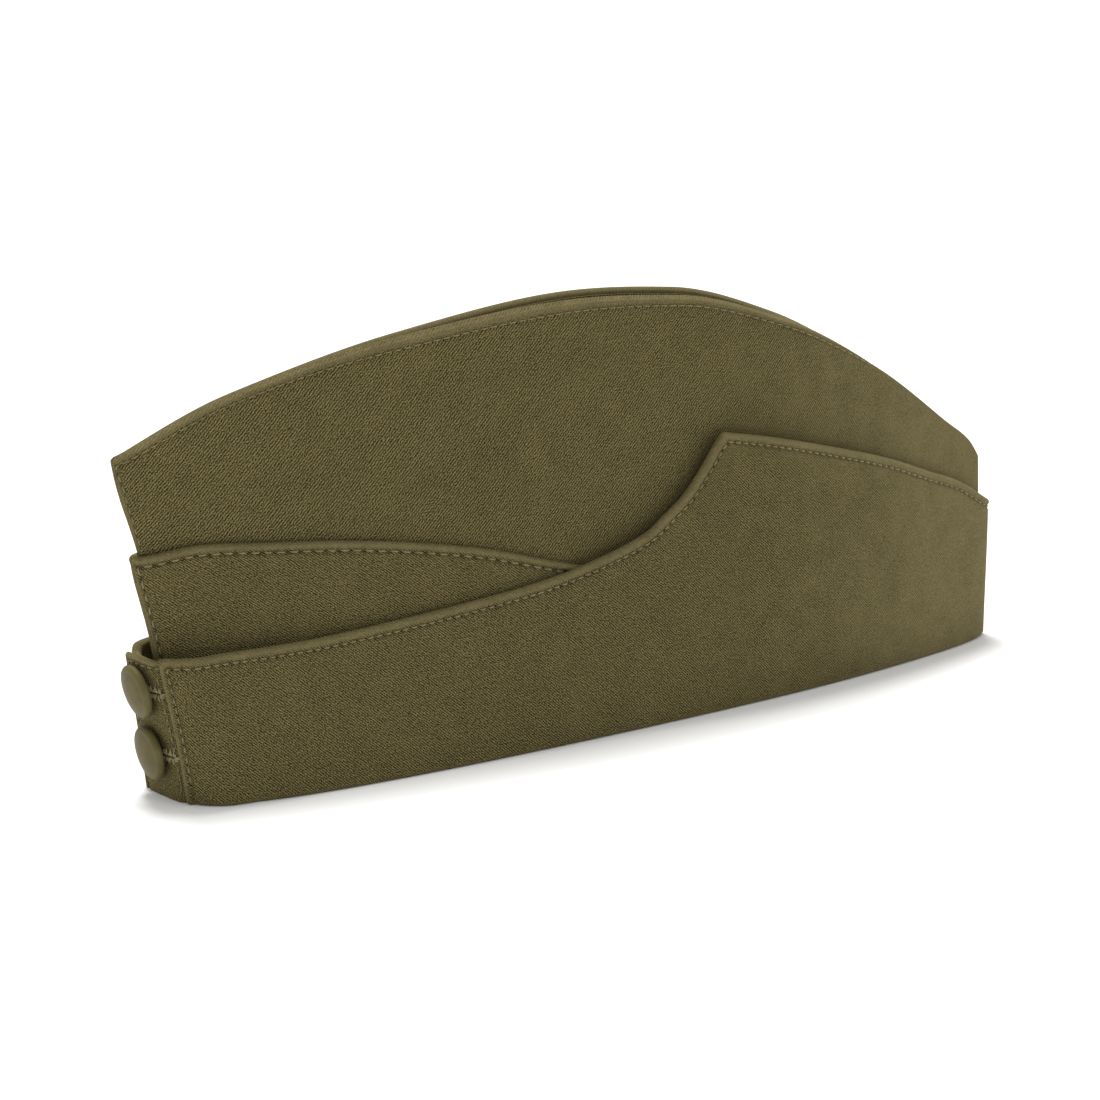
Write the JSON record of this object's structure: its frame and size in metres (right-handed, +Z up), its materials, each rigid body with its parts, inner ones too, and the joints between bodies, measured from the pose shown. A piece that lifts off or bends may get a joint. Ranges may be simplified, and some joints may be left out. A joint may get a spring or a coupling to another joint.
{
  "type": "garrison cap",
  "caption": "Olive wool garrison cap with folded crown, turned-up flap and curtain buttoned at the front.",
  "frame": {"origin": "middle of the cap's footprint, on the surface that it stands on", "axes": "+X to the rear of the cap, -X the buttoned front, -Y the wearer's left, +Z up"},
  "size_m": [0.2884, 0.0496, 0.1138],
  "materials": {
    "wool_cloth": "matte olive-drab wool twill",
    "button_face": "satin olive"
  },
  "bodies": {
    "root": {"crown_left": "wool_cloth", "crown_right": "wool_cloth", "crown_top": "wool_cloth", "front_flap_left": "wool_cloth", "front_flap_right": "wool_cloth", "curtain_left": "wool_cloth", "curtain_right": "wool_cloth", "front_tab": "wool_cloth", "button_lower": "button_face", "button_upper": "button_face"}
  },
  "joints": []
}
